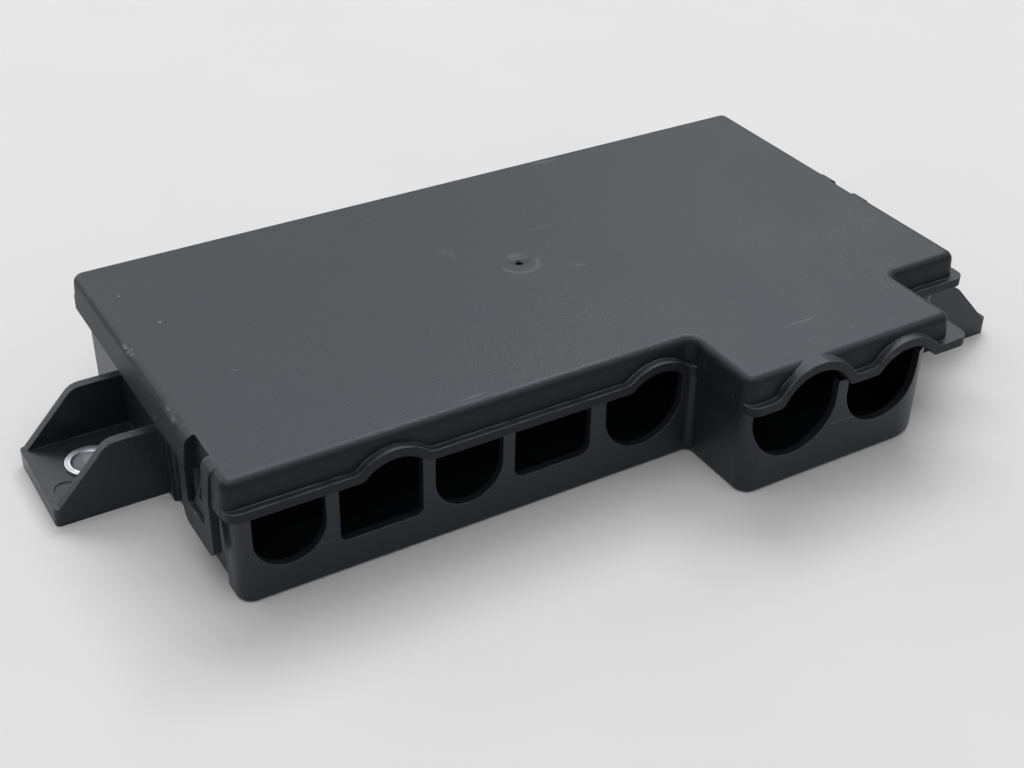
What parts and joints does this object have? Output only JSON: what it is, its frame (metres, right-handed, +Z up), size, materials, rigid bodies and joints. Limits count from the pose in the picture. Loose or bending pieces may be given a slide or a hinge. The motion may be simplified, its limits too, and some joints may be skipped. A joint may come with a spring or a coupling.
{
  "type": "cable junction housing",
  "caption": "Low rectangular moulded housing with a stepped nose, arched cable openings along the front, a latched lid and two gusseted mounting brackets with metal sleeves.",
  "frame": {"origin": "centre of the housing's outline on its mounting face, bracket ends and lip included", "axes": "+X along the length from the left bracket to the right one, -Y towards the cable openings and the nose, +Z up out of the lid"},
  "size_m": [0.1984, 0.1002, 0.027],
  "materials": {
    "tray_plastic": "fine spark-eroded grain, black",
    "lid_plastic": "fine spark-eroded grain, black",
    "sleeve_steel": "zinc plated, satin"
  },
  "bodies": {
    "tray": {"tray": "tray_plastic", "sleeve_left": "sleeve_steel", "sleeve_right": "sleeve_steel"},
    "lid": {"lid": "lid_plastic"}
  },
  "joints": [
    {"name": "lid_lift", "type": "slide", "parent": "tray", "child": "lid", "axis": [0, 0, 1], "range_m": [0, 0.06]}
  ]
}
